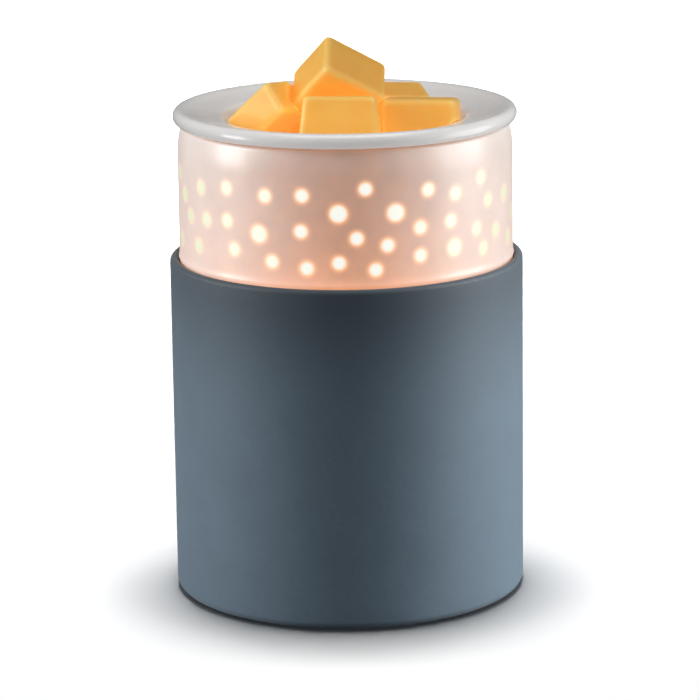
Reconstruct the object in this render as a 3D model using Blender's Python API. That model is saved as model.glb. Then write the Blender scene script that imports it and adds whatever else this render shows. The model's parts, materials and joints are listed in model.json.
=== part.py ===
"""Electric wax warmer: a ceramic dish of wax melts on a lit porcelain shade that stands in a soft sleeve.

Metres, +Z up. The origin is the middle of the footprint, on the surface that the feet stand on.
The front is -Y and the mains cord leaves at the back, +Y.
"""

from math import cos, pi, radians, sin, tan

import bmesh
import bpy
from mathutils import Euler, Matrix, Vector

MM = 0.001
GAP = 0.3 * MM
ROUND_STEPS = 48
LAMP_STEPS = 24
SMALL_STEPS = 10

# Sleeve
SLEEVE_RADIUS = 62.5 * MM
SLEEVE_WALL = 3.2 * MM
SLEEVE_BOTTOM = 0.8 * MM
SLEEVE_TOP = 121.0 * MM
SLEEVE_FOOT_ROUND = 2.7 * MM
SLEEVE_LIP_RADIUS = 57.0 * MM
SLEEVE_LIP_THICKNESS = 1.9 * MM

# Shade
SHADE_RADIUS = SLEEVE_RADIUS - SLEEVE_WALL - GAP
SHADE_WALL = 3.6 * MM
SHADE_TOP = 168.3 * MM
SHADE_SHOULDER_DEPTH = 10.0 * MM
SHADE_TOP_RADIUS = 57.5 * MM
WINDOW_THICKNESS = 0.9 * MM

# Base ring, deck, cover and feet
RING_BOTTOM = SLEEVE_BOTTOM + SLEEVE_LIP_THICKNESS + GAP
RING_WALL = 2.6 * MM
LEDGE_HEIGHT = 20.0 * MM
DECK_TOP = 26.0 * MM
DECK_THICKNESS = 2.5 * MM
SPIGOT_CLEARANCE = 0.4 * MM
COVER_THICKNESS = 2.4 * MM
LEAD_HOLE_RADIUS = 4.5 * MM
FOOT_RADIUS = 6.0 * MM
FOOT_CIRCLE = 44.0 * MM
FOOT_ANGLES = (45, 135, 225, 315)
BOSS_CIRCLE = 46.0 * MM
BOSS_RADIUS = 3.6 * MM
BOSS_ANGLES = (20, 160, 200, 340)
PILOT_RADIUS = 1.5 * MM
COVER_PILOT_END = 17.0 * MM
BRACKET_BOSS_LOW = 16.0 * MM
SCREW_RADIUS = 1.2 * MM
SLOT_WIDTH = 3.0 * MM
DECK_SLOTS = (27.0 * MM, 41.0 * MM)
DECK_SLOT_ANGLES = (62, 90, 118, 242, 270, 298)

# Cord outlet
CORD_HEIGHT = 11.4 * MM
CORD_HOLE_RADIUS = 4.9 * MM
GROMMET_BORE_RADIUS = 3.4 * MM

# Lamp, its holder and the bracket that lifts them
SHIELD_RADIUS = 50.5 * MM
SHIELD_THICKNESS = 0.8 * MM
BRACKET_SCREW_X = 30.0 * MM
BRACKET_HALF_SPAN = 24.5 * MM
BRACKET_WIDTH = 14.0 * MM
BRACKET_SHEET = 1.5 * MM
BRACKET_TOP = 46.0 * MM
HOLDER_RADIUS = 14.0 * MM
HOLDER_TOP = 68.0 * MM
HOLDER_SCREW_X = 10.0 * MM
PIN_CIRCLE = 5.0 * MM
PIN_HEAD_RADIUS = 2.4 * MM
PIN_LENGTH = 6.5 * MM
PIN_HOLE_DEPTH = 4.0 * MM
CONTACT_SIDE = 3.0 * MM
LAMP_TWIST_DEGREES = 25
LAMP_RADIUS = 25.0 * MM
CAP_TOP = 84.0 * MM
LENS_TOP = 118.3 * MM

# Dish
DISH_RIM_RADIUS = 60.5 * MM
DISH_RIM_HEIGHT = 5.3 * MM
WELL_RADIUS = 42.0 * MM
WELL_FLOOR = 159.5 * MM
WELL_LIP_DROP = 4.2 * MM
DISH_WALL = 4.0 * MM
SKIRT_DEPTH = 7.0 * MM
SKIRT_THICKNESS = 2.8 * MM
SKIRT_CLEARANCE = 0.6 * MM

# Wax melts, in mm and degrees: name, middle, rotation about X, Y and Z, size, and draft of the sides.
# A melt that comes later has sunk into shape against the ones before it.
MELT_EDGE = 1.5 * MM
MELT_GAP = 0.35 * MM
TOP_MELT = "melt_top"
TOP_MELT_LIFT = 20 * MM
MELTS = (
    (TOP_MELT, (-1.9, -7.2, 182.0), (-51.1, 29.1, 18.3), (25.2, 22.7, 18.2), 0),
    ("melt_front", (-1.4, -23.0, 169.1), (-15, 0, -3.5), (27.5, 18.5, 22.4), 5.5),
    ("melt_right", (26.5, -10.6, 168.9), (-5.8, 0, -7.6), (27.3, 17.0, 17.6), 3),
    ("melt_left", (-26.2, -6.8, 172.0), (-83.9, 41.0, 146.1), (23.8, 13.0, 18.0), 0),
    ("melt_back_right", (19.2, 11.2, 169.9), (14, 3.5, 15), (20.0, 16.5, 16.5), 4),
    ("melt_back_left", (-17.5, 12.9, 167.0), (0, 0, 8), (20.0, 13.0, 15.0), 2),
)

# Light dots: degrees from the front towards +X, mm above the sleeve's lip, and whether the dot is large.
DOT_SIDES = 7
DOT_RADIUS = 2.1 * MM
LARGE_DOT_RADIUS = 2.8 * MM
DOT_MOTIF_DEGREES = 180
DOT_MOTIF = (
    (-78, 33.0, False), (-57.5, 30.8, False), (-43.5, 32.6, False), (-27.6, 31.5, False),
    (-14.5, 32.3, False),
    (6.5, 34.6, False), (28.3, 32.9, False), (39.3, 30.3, False), (51.9, 34.0, False), (-71, 26.0, False),
    (-2.5, 26.3, True), (16.6, 26.0, True), (56, 25.5, False), (68.5, 25.5, False), (-65.6, 19.5, False),
    (-54.1, 20.0, False), (-43.4, 21.3, False), (-30.1, 18.2, True), (-15, 20.0, False), (3.5, 17.7, False),
    (25.3, 20.2, False), (37.3, 21.1, False), (49.5, 16.5, False), (61.3, 14.0, False), (-76, 9.5, False),
    (-59.7, 9.9, False), (-40.3, 11.7, False), (-25.3, 9.0, False), (-13.1, 7.3, False), (-2.4, 9.3, False),
    (9.7, 6.7, False), (13.8, 14.9, False), (25.3, 10.5, False), (38.8, 11.6, True), (53.2, 9.0, False),
    (83, 31.0, False), (92, 24.0, False), (79.5, 17.0, False), (73.5, 9.0, False),
)


def material(name, colour, roughness, metallic=0.0):
    made = bpy.data.materials.new(name)
    made.use_nodes = True
    shader = made.node_tree.nodes["Principled BSDF"]
    shader.inputs["Base Color"].default_value = (*colour, 1.0)
    shader.inputs["Roughness"].default_value = roughness
    shader.inputs["Metallic"].default_value = metallic
    made.diffuse_color = (*colour, 1.0)
    return made


def place(name, mesh, surface):
    """An object of this mesh, smooth but for its sharp edges."""
    made = bpy.data.objects.new(name, mesh)
    bpy.context.scene.collection.objects.link(made)
    if surface:
        made.data.materials.append(surface)
    made.data.shade_smooth()
    made.data.set_sharp_from_angle(angle=radians(35))
    return made


def mesh_of(name, shape):
    bmesh.ops.recalc_face_normals(shape, faces=shape.faces)
    mesh = bpy.data.meshes.new(name)
    shape.to_mesh(mesh)
    shape.free()
    return mesh


def ring_of(shape, radius, height, steps):
    """One turned ring of vertices, or the single vertex that it shrinks to on the axis."""
    if radius == 0:
        return [shape.verts.new((0, 0, height))]
    turns = [2 * pi * step / steps for step in range(steps)]
    return [shape.verts.new((radius * cos(turn), radius * sin(turn), height)) for turn in turns]


def bridge(shape, lower, upper, steps):
    for step in range(steps):
        after = (step + 1) % steps
        corners = [lower[step % len(lower)], lower[after % len(lower)]]
        corners += [upper[after % len(upper)], upper[step % len(upper)]]
        distinct = list(dict.fromkeys(corners))
        if len(distinct) > 2:
            shape.faces.new(distinct)


def turned_shape(outline, steps=ROUND_STEPS):
    """A solid turned about Z from (radius, height) points. One that ends on the axis is left open there."""
    shape = bmesh.new()
    rings = [ring_of(shape, radius, height, steps) for radius, height in outline]
    on_axis = outline[0][0] == 0 and outline[-1][0] == 0
    followers = rings[1:] if on_axis else rings[1:] + rings[:1]
    for lower, upper in zip(rings, followers):
        bridge(shape, lower, upper, steps)
    return shape


def turned(name, outline, surface, steps=ROUND_STEPS, at=(0, 0, 0)):
    made = place(name, mesh_of(name, turned_shape(outline, steps)), surface)
    made.location = at
    return made


def arc(centre, radius, start, end, pieces):
    """Points of a round stretch of an outline, from one angle in degrees to another."""
    turns = [radians(start + (end - start) * step / pieces) for step in range(pieces + 1)]
    return [(centre[0] + radius * cos(turn), centre[1] + radius * sin(turn)) for turn in turns]


def drum(shape, radius, low, high, sides, at=(0, 0)):
    """Adds a closed upright cylinder to a shape."""
    middle = Matrix.Translation((at[0], at[1], (low + high) / 2))
    bmesh.ops.create_cone(
        shape, cap_ends=True, segments=sides, radius1=radius, radius2=radius, depth=high - low, matrix=middle
    )


def brick(shape, low, high, turn=0.0):
    """Adds a box between two corners, turned about Z by an angle in radians."""
    size = Vector(high) - Vector(low)
    middle = Matrix.Translation((Vector(low) + Vector(high)) / 2)
    scale = Matrix.Diagonal((*size, 1.0))
    bmesh.ops.create_cube(shape, size=1.0, matrix=Matrix.Rotation(turn, 4, "Z") @ middle @ scale)


def combine(target, name, shape, operation):
    """Cuts a hidden helper shape out of a part, or joins it on."""
    helper = place(name, mesh_of(name, shape), None)
    helper.hide_render = True
    helper.display_type = "WIRE"
    modifier = target.modifiers.new(name, "BOOLEAN")
    modifier.operation = operation
    modifier.solver = "EXACT"
    modifier.object = helper
    return helper


def on_circle(radius, degrees):
    return radius * cos(radians(degrees)), radius * sin(radians(degrees))


def cord_hole_shape(inner, outer):
    """A level cylinder along +Y where the mains cord goes out."""
    shape = bmesh.new()
    drum(shape, CORD_HOLE_RADIUS, inner, outer, 20)
    turn = Matrix.Translation((0, 0, CORD_HEIGHT)) @ Matrix.Rotation(-pi / 2, 4, "X")
    bmesh.ops.transform(shape, matrix=turn, verts=shape.verts)
    return shape


def radial_slots(shape, inner, outer, low, high, degrees):
    """Adds air slots that run outwards, as separate boxes."""
    for angle in degrees:
        brick(shape, (inner, -SLOT_WIDTH / 2, low), (outer, SLOT_WIDTH / 2, high), radians(angle))


def screw(name, head_radius, head_low, head_height, shank_end, surface, at):
    """A pan-head screw. The shank runs from the head to shank_end, up or down."""
    head_high = head_low + head_height
    if shank_end > head_low:
        outline = [(0, head_low), (head_radius - 0.5 * MM, head_low), (head_radius, head_low + 0.6 * MM)]
        outline += [(head_radius, head_high), (SCREW_RADIUS, head_high), (SCREW_RADIUS, shank_end - 1 * MM)]
        outline += [(0, shank_end)]
    else:
        outline = [(0, shank_end), (SCREW_RADIUS, shank_end + 1 * MM), (SCREW_RADIUS, head_low)]
        outline += [(head_radius, head_low), (head_radius, head_high - 0.6 * MM)]
        outline += [(head_radius - 0.5 * MM, head_high), (0, head_high)]
    return turned(name, outline, surface, SMALL_STEPS, (at[0], at[1], 0))


def make_feet(rubber):
    stem = 1.7 * MM
    head = 2.4 * MM
    under_cover = RING_BOTTOM - GAP
    over_cover = RING_BOTTOM + COVER_THICKNESS + GAP
    outline = [(0, 0), (FOOT_RADIUS - 0.5 * MM, 0), (FOOT_RADIUS, 0.5 * MM), (FOOT_RADIUS, under_cover)]
    outline += [(stem, under_cover), (stem, over_cover), (head, over_cover)]
    outline += [(head, over_cover + 0.8 * MM), (0, over_cover + 1.6 * MM)]
    for number, angle in enumerate(FOOT_ANGLES, 1):
        turned(f"foot_{number}", outline, rubber, 14, (*on_circle(FOOT_CIRCLE, angle), 0))


def make_cover(plastic):
    radius = SHADE_RADIUS - RING_WALL - GAP
    top = RING_BOTTOM + COVER_THICKNESS
    edge = 0.5 * MM
    outline = [(0, RING_BOTTOM), (radius - edge, RING_BOTTOM), (radius, RING_BOTTOM + edge)]
    cover = turned("bottom_cover", outline + [(radius, top), (0, top)], plastic)
    holes = bmesh.new()
    for angle in FOOT_ANGLES:
        drum(holes, 2.0 * MM, RING_BOTTOM - MM, top + MM, SMALL_STEPS, on_circle(FOOT_CIRCLE, angle))
    for angle in BOSS_ANGLES:
        drum(holes, 1.7 * MM, RING_BOTTOM - MM, top + MM, SMALL_STEPS, on_circle(BOSS_CIRCLE, angle))
    radial_slots(holes, 16 * MM, 32 * MM, RING_BOTTOM - MM, top + MM, range(0, 360, 60))
    combine(cover, "cover_holes", holes, "DIFFERENCE")


def make_cover_screws(steel):
    head_height = 1.6 * MM
    head_low = RING_BOTTOM - GAP - head_height
    for number, angle in enumerate(BOSS_ANGLES, 1):
        at = on_circle(BOSS_CIRCLE, angle)
        screw(f"cover_screw_{number}", 2.8 * MM, head_low, head_height, 16 * MM, steel, at)


def make_base(plastic):
    """The ring that holds up the shade, and the deck bonded to its spigot, with the screw bosses under it."""
    spigot = SHADE_RADIUS - SHADE_WALL - SPIGOT_CLEARANCE
    outer = SHADE_RADIUS
    under_deck = DECK_TOP - DECK_THICKNESS
    under_ledge = LEDGE_HEIGHT - RING_WALL
    outline = [(spigot, under_deck - GAP), (spigot, LEDGE_HEIGHT), (outer, LEDGE_HEIGHT)]
    outline += [(outer, RING_BOTTOM), (outer - RING_WALL, RING_BOTTOM), (outer - RING_WALL, under_ledge)]
    outline += [(spigot - RING_WALL, under_ledge), (spigot - RING_WALL, under_deck - GAP)]
    ring = turned("base_ring", outline, plastic)
    combine(ring, "ring_cord_hole", cord_hole_shape(50 * MM, 65 * MM), "DIFFERENCE")
    edge = 0.5 * MM
    outline = [(LEAD_HOLE_RADIUS, DECK_TOP), (spigot - edge, DECK_TOP), (spigot, DECK_TOP - edge)]
    deck = turned("base_deck", outline + [(spigot, under_deck), (LEAD_HOLE_RADIUS, under_deck)], plastic)
    boss_low = RING_BOTTOM + COVER_THICKNESS + GAP
    bosses = bmesh.new()
    pilots = bmesh.new()
    for angle in BOSS_ANGLES:
        drum(bosses, BOSS_RADIUS, boss_low, under_deck + MM, SMALL_STEPS, on_circle(BOSS_CIRCLE, angle))
        drum(pilots, PILOT_RADIUS, boss_low - MM, COVER_PILOT_END, SMALL_STEPS, on_circle(BOSS_CIRCLE, angle))
    for x in (-BRACKET_SCREW_X, BRACKET_SCREW_X):
        drum(bosses, BOSS_RADIUS, BRACKET_BOSS_LOW, under_deck + MM, SMALL_STEPS, (x, 0))
        drum(pilots, PILOT_RADIUS, BRACKET_BOSS_LOW + 1.5 * MM, DECK_TOP + MM, SMALL_STEPS, (x, 0))
    combine(deck, "deck_bosses", bosses, "UNION")
    radial_slots(pilots, *DECK_SLOTS, under_deck - MM, DECK_TOP + MM, DECK_SLOT_ANGLES)
    combine(deck, "deck_pilots", pilots, "DIFFERENCE")


def make_sleeve(silicone):
    inner = SLEEVE_RADIUS - SLEEVE_WALL
    round_centre = (SLEEVE_RADIUS - SLEEVE_FOOT_ROUND, SLEEVE_BOTTOM + SLEEVE_FOOT_ROUND)
    lip_centre = (SLEEVE_RADIUS - SLEEVE_WALL / 2, SLEEVE_TOP - SLEEVE_WALL / 2)
    lip_top = SLEEVE_BOTTOM + SLEEVE_LIP_THICKNESS
    outline = [(SLEEVE_LIP_RADIUS, SLEEVE_BOTTOM), *arc(round_centre, SLEEVE_FOOT_ROUND, -90, 0, 3)]
    outline += arc(lip_centre, SLEEVE_WALL / 2, 0, 180, 5)
    sleeve = turned("outer_sleeve", outline + [(inner, lip_top), (SLEEVE_LIP_RADIUS, lip_top)], silicone)
    combine(sleeve, "sleeve_cord_hole", cord_hole_shape(50 * MM, 70 * MM), "DIFFERENCE")


def make_grommet(rubber):
    body = CORD_HOLE_RADIUS - GAP
    flange = 5.7 * MM
    inner_face = 53.4 * MM
    flange_face = 55.6 * MM
    outer_face = 61.8 * MM
    outline = [(GROMMET_BORE_RADIUS, inner_face), (flange, inner_face), (flange, flange_face)]
    outline += [(body, flange_face), (body, outer_face), (GROMMET_BORE_RADIUS, outer_face)]
    grommet = turned("cord_grommet", outline, rubber, 20, (0, 0, CORD_HEIGHT))
    grommet.rotation_euler = (-pi / 2, 0, 0)


def dot_places():
    """(angle from +X in radians, height, radius) of each dot. The motif covers half a turn and repeats."""
    for turn in range(0, 360, DOT_MOTIF_DEGREES):
        for angle, height, large in DOT_MOTIF:
            radius = LARGE_DOT_RADIUS if large else DOT_RADIUS
            yield radians(angle + turn - 90), SLEEVE_TOP + (height - 0.5) * MM, radius


def make_shade(porcelain):
    """The dots are blind pockets cut from inside, which leave a thin window of porcelain for the light."""
    inner = SHADE_RADIUS - SHADE_WALL
    shoulder = SHADE_TOP - SHADE_SHOULDER_DEPTH
    bottom = LEDGE_HEIGHT + GAP
    middle_radius = SHADE_TOP_RADIUS + 0.7 * (SHADE_RADIUS - SHADE_TOP_RADIUS)
    outline = [(inner, bottom), (SHADE_RADIUS - 0.4 * MM, bottom), (SHADE_RADIUS, bottom + 0.4 * MM)]
    outline += [(SHADE_RADIUS, shoulder), (middle_radius, SHADE_TOP - 0.45 * SHADE_SHOULDER_DEPTH)]
    outline += [(SHADE_TOP_RADIUS, SHADE_TOP), (SHADE_TOP_RADIUS - SHADE_WALL, SHADE_TOP), (inner, shoulder)]
    shade = turned("porcelain_shade", outline, porcelain)
    pockets = bmesh.new()
    facet_inset = SHADE_RADIUS * (1 - cos(pi / ROUND_STEPS))
    depth_end = SHADE_RADIUS - facet_inset - WINDOW_THICKNESS
    depth_start = inner - 3 * MM
    for angle, height, radius in dot_places():
        outwards = Matrix.Rotation(angle, 4, "Z") @ Matrix.Rotation(pi / 2, 4, "Y")
        middle = Matrix.Translation((0, 0, (depth_start + depth_end) / 2))
        at = Matrix.Translation((0, 0, height)) @ outwards @ middle
        bmesh.ops.create_cone(
            pockets,
            cap_ends=True,
            segments=DOT_SIDES,
            radius1=radius,
            radius2=radius,
            depth=depth_end - depth_start,
            matrix=at,
        )
    combine(shade, "shade_pockets", pockets, "DIFFERENCE")


def make_shield(aluminium):
    low = DECK_TOP + GAP
    high = low + SHIELD_THICKNESS
    hole = 6 * MM
    outline = [(hole, low), (SHIELD_RADIUS, low), (SHIELD_RADIUS, high), (hole, high)]
    shield = turned("heat_shield", outline, aluminium)
    holes = bmesh.new()
    for x in (-BRACKET_SCREW_X, BRACKET_SCREW_X):
        drum(holes, 1.9 * MM, low - MM, high + MM, SMALL_STEPS, (x, 0))
    radial_slots(holes, *DECK_SLOTS, low - MM, high + MM, DECK_SLOT_ANGLES)
    combine(shield, "shield_holes", holes, "DIFFERENCE")


def make_bracket(steel):
    """A bridge bent from one strip: two feet, two legs and the plate that carries the lamp holder."""
    low = DECK_TOP + GAP + SHIELD_THICKNESS + GAP
    foot_end = BRACKET_SCREW_X + 6 * MM
    side = [(foot_end, low), (foot_end, low + BRACKET_SHEET), (BRACKET_HALF_SPAN, low + BRACKET_SHEET)]
    side += [(BRACKET_HALF_SPAN, BRACKET_TOP)]
    inside = [(BRACKET_HALF_SPAN - BRACKET_SHEET, BRACKET_TOP - BRACKET_SHEET)]
    inside += [(BRACKET_HALF_SPAN - BRACKET_SHEET, low)]
    right = side + [(-x, z) for x, z in reversed(side)]
    outline = right + [(-x, z) for x, z in reversed(inside)] + inside
    shape = bmesh.new()
    front = [shape.verts.new((x, -BRACKET_WIDTH / 2, z)) for x, z in outline]
    face = shape.faces.new(front)
    grown = bmesh.ops.extrude_face_region(shape, geom=[face])["geom"]
    moved = [piece for piece in grown if isinstance(piece, bmesh.types.BMVert)]
    bmesh.ops.translate(shape, verts=moved, vec=(0, BRACKET_WIDTH, 0))
    bracket = place("lamp_bracket", mesh_of("lamp_bracket", shape), steel)
    holes = bmesh.new()
    drum(holes, 6 * MM, BRACKET_TOP - 5 * MM, BRACKET_TOP + MM, 20)
    for x in (-HOLDER_SCREW_X, HOLDER_SCREW_X):
        drum(holes, 1.7 * MM, BRACKET_TOP - 5 * MM, BRACKET_TOP + MM, SMALL_STEPS, (x, 0))
    for x in (-BRACKET_SCREW_X, BRACKET_SCREW_X):
        drum(holes, 1.9 * MM, low - MM, low + 5 * MM, SMALL_STEPS, (x, 0))
    combine(bracket, "bracket_holes", holes, "DIFFERENCE")
    for side_name, x in (("left", -BRACKET_SCREW_X), ("right", BRACKET_SCREW_X)):
        head_low = low + BRACKET_SHEET + GAP
        screw(f"bracket_screw_{side_name}", 3 * MM, head_low, 2 * MM, 18.2 * MM, steel, (x, 0))


def arc_slot(shape, radius, middle_degrees, sweep, half_width, low, high):
    """A kidney-shaped upright slot round the axis, as one closed prism."""
    steps = 5
    start = middle_degrees - sweep / 2
    rim = []
    for step in range(steps + 1):
        rim.append(on_circle(radius + half_width, start + sweep * step / steps))
    end_x, end_y = on_circle(radius, start + sweep)
    for turn in (45, 90, 135):
        x, y = on_circle(half_width, start + sweep + turn)
        rim.append((end_x + x, end_y + y))
    for step in range(steps + 1):
        rim.append(on_circle(radius - half_width, start + sweep * (1 - step / steps)))
    end_x, end_y = on_circle(radius, start)
    for turn in (225, 270, 315):
        x, y = on_circle(half_width, start + turn)
        rim.append((end_x + x, end_y + y))
    lower = [shape.verts.new((x, y, low)) for x, y in rim]
    upper = [shape.verts.new((x, y, high)) for x, y in rim]
    shape.faces.new(lower)
    shape.faces.new(upper)
    bridge(shape, lower, upper, len(rim))


def make_holder(ceramic, steel, brass):
    low = BRACKET_TOP + GAP
    slot_bottom = HOLDER_TOP - PIN_LENGTH - 1.5 * MM
    outline = [(0, low), (HOLDER_RADIUS - MM, low), (HOLDER_RADIUS, low + MM)]
    outline += [(HOLDER_RADIUS, HOLDER_TOP - MM), (HOLDER_RADIUS - MM, HOLDER_TOP), (0, HOLDER_TOP)]
    holder = turned("lamp_holder", outline, ceramic, LAMP_STEPS)
    slots = bmesh.new()
    half_width = PIN_HEAD_RADIUS + 0.35 * MM
    for middle in (LAMP_TWIST_DEGREES / 2, 180 + LAMP_TWIST_DEGREES / 2):
        arc_slot(slots, PIN_CIRCLE, middle, LAMP_TWIST_DEGREES + 4, half_width, slot_bottom, HOLDER_TOP + MM)
    combine(holder, "holder_slots", slots, "DIFFERENCE")
    pilots = bmesh.new()
    for x in (-HOLDER_SCREW_X, HOLDER_SCREW_X):
        drum(pilots, PILOT_RADIUS, low - MM, low + 9 * MM, SMALL_STEPS, (x, 0))
    combine(holder, "holder_pilots", pilots, "DIFFERENCE")
    head_low = BRACKET_TOP - BRACKET_SHEET - GAP - 2 * MM
    for side, turn in (("left", pi), ("right", 0)):
        across = Matrix.Rotation(turn, 4, "Z")
        spot = across @ Vector((HOLDER_SCREW_X, 0, 0))
        screw(f"holder_screw_{side}", 2.6 * MM, head_low, 2 * MM, 54 * MM, steel, spot)
        leaf = bmesh.new()
        corner = Vector((PIN_CIRCLE, 0, slot_bottom + GAP)) - Vector((CONTACT_SIDE, CONTACT_SIDE, 0)) / 2
        brick(leaf, corner, corner + Vector((CONTACT_SIDE, CONTACT_SIDE, 0.7 * MM)), turn)
        place(f"contact_{side}", mesh_of(f"contact_{side}", leaf), brass)


def make_lamp(ceramic, glass, mirror, brass):
    """A twist-lock reflector lamp. It turns about Z, on the holder's axis, where its parent empty is."""
    cap_low = HOLDER_TOP + GAP
    pin_end = cap_low + PIN_HOLE_DEPTH - GAP
    outline = [(0, cap_low), (9.5 * MM, cap_low), (10.5 * MM, cap_low + MM), (10.5 * MM, 76 * MM)]
    outline += [(12.5 * MM, CAP_TOP - 2 * MM), (12.5 * MM, CAP_TOP), (3.5 * MM, CAP_TOP)]
    outline += [(3.5 * MM, CAP_TOP - 5 * MM), (0, CAP_TOP - 5 * MM)]
    cap = turned("lamp_cap", outline, ceramic, LAMP_STEPS)
    holes = bmesh.new()
    for x in (-PIN_CIRCLE, PIN_CIRCLE):
        drum(holes, 1.8 * MM, cap_low - MM, cap_low + PIN_HOLE_DEPTH, SMALL_STEPS, (x, 0))
    combine(cap, "cap_holes", holes, "DIFFERENCE")
    head_low = cap_low - PIN_LENGTH
    pin = [(0, head_low), (PIN_HEAD_RADIUS - 0.4 * MM, head_low), (PIN_HEAD_RADIUS, head_low + 0.4 * MM)]
    pin += [(PIN_HEAD_RADIUS, head_low + 2.2 * MM), (1.5 * MM, head_low + 2.4 * MM)]
    pin += [(1.5 * MM, pin_end), (0, pin_end)]
    pin_left = turned("lamp_pin_left", pin, brass, SMALL_STEPS, (-PIN_CIRCLE, 0, 0))
    pin_right = turned("lamp_pin_right", pin, brass, SMALL_STEPS, (PIN_CIRCLE, 0, 0))
    neck = CAP_TOP + GAP
    rim = LENS_TOP - 2 * MM - GAP
    outside = [(9 * MM, neck), (14 * MM, 90 * MM), (20 * MM, 99 * MM), (24 * MM, 109 * MM)]
    outside += [(LAMP_RADIUS, 113 * MM), (LAMP_RADIUS, rim)]
    inside = [(LAMP_RADIUS - 1.5 * MM, rim), (22.4 * MM, 109 * MM), (18.4 * MM, 99.6 * MM)]
    inside += [(12.4 * MM, 91.2 * MM), (7.5 * MM, neck + 1.8 * MM), (3.5 * MM, neck + 1.8 * MM)]
    reflector = turned("lamp_reflector", outside + inside + [(3.5 * MM, neck)], mirror, LAMP_STEPS)
    lens_low = rim + GAP
    outline = [(0, lens_low), (LAMP_RADIUS - 0.4 * MM, lens_low), (LAMP_RADIUS, lens_low + 0.6 * MM)]
    outline += [(LAMP_RADIUS - 1 * MM, LENS_TOP - 0.7 * MM), (LAMP_RADIUS - 6 * MM, LENS_TOP - 0.1 * MM)]
    lens = turned("lamp_lens", outline + [(0, LENS_TOP)], glass, LAMP_STEPS)
    bulb = 4.6 * MM
    base = CAP_TOP - 5 * MM + GAP
    bulb_low = 91 * MM
    bulb_high = 99 * MM
    outline = [(0, base), (3 * MM, base), (3 * MM, 88.5 * MM), *arc((0, bulb_low), bulb, -30, 0, 1)]
    outline += arc((0, bulb_high), bulb, 0, 90, 3)[:-1]
    capsule = turned("lamp_capsule", outline + [(0, bulb_high + bulb)], glass, 12)
    axis = bpy.data.objects.new("lamp_axis", None)
    axis.location = (0, 0, HOLDER_TOP)
    bpy.context.scene.collection.objects.link(axis)
    for piece in (cap, pin_left, pin_right, reflector, lens, capsule):
        piece.parent = axis
        piece.matrix_parent_inverse = Matrix.Translation((0, 0, -HOLDER_TOP))


def make_wiring(plastic, steel, insulation):
    top = DECK_TOP - DECK_THICKNESS - GAP
    bottom = 12 * MM
    half_length = 11 * MM
    front = 30 * MM
    back = 41 * MM
    clamp_x = 5.5 * MM
    middle_y = (front + back) / 2
    shape = bmesh.new()
    brick(shape, (-half_length, front, bottom), (half_length, back, top))
    bmesh.ops.bevel(shape, geom=shape.edges[:], offset=0.6 * MM, segments=1, affect="EDGES")
    block = place("terminal_block", mesh_of("terminal_block", shape), plastic)
    pilots = bmesh.new()
    for x in (-clamp_x, clamp_x):
        drum(pilots, 2.3 * MM, bottom - MM, bottom + 7 * MM, SMALL_STEPS, (x, middle_y))
    combine(block, "block_pilots", pilots, "DIFFERENCE")
    screw_radius = 2 * MM
    screw_low = bottom + 2 * MM
    screw_high = bottom + 6.5 * MM
    for side, x in (("left", -clamp_x), ("right", clamp_x)):
        outline = [(0, screw_low), (screw_radius, screw_low), (screw_radius, screw_high), (0, screw_high)]
        turned(f"terminal_screw_{side}", outline, steel, SMALL_STEPS, (x, middle_y, 0))
        sign = -1 if x < 0 else 1
        clamp = Vector((x, front - GAP, 17 * MM))
        route = [
            clamp,
            clamp - Vector((0, 9.7 * MM, 0)),
            Vector((sign * 3.2 * MM, 8 * MM, 14.5 * MM)),
            Vector((sign * 1.7 * MM, 0.5 * MM, 20 * MM)),
            Vector((sign * 1.7 * MM, 0, 30 * MM)),
            Vector((sign * 2.4 * MM, 0, 38 * MM)),
            Vector((sign * 3.2 * MM, 0, BRACKET_TOP)),
        ]
        lead(f"lead_{side}", route, insulation)


def lead(name, route, surface):
    """A short insulated wire along a smooth curve through the route's points."""
    ends = [2 * route[0] - route[1], *route, 2 * route[-1] - route[-2]]
    points = []
    for before, start, end, after in zip(ends, ends[1:], ends[2:], ends[3:]):
        for step in range(3):
            t = step / 3
            bend = 2 * start + (end - before) * t
            bend += (2 * before - 5 * start + 4 * end - after) * t * t
            bend += (3 * start - before - 3 * end + after) * t * t * t
            points.append(bend / 2)
    points.append(route[-1])
    curve = bpy.data.curves.new(name, "CURVE")
    curve.dimensions = "3D"
    curve.bevel_depth = 0.9 * MM
    curve.bevel_resolution = 1
    curve.use_fill_caps = True
    spline = curve.splines.new("POLY")
    spline.points.add(len(points) - 1)
    for point, place_at in zip(spline.points, points):
        point.co = (*place_at, 1)
    curve.materials.append(surface)
    made = bpy.data.objects.new(name, curve)
    bpy.context.scene.collection.objects.link(made)


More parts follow.
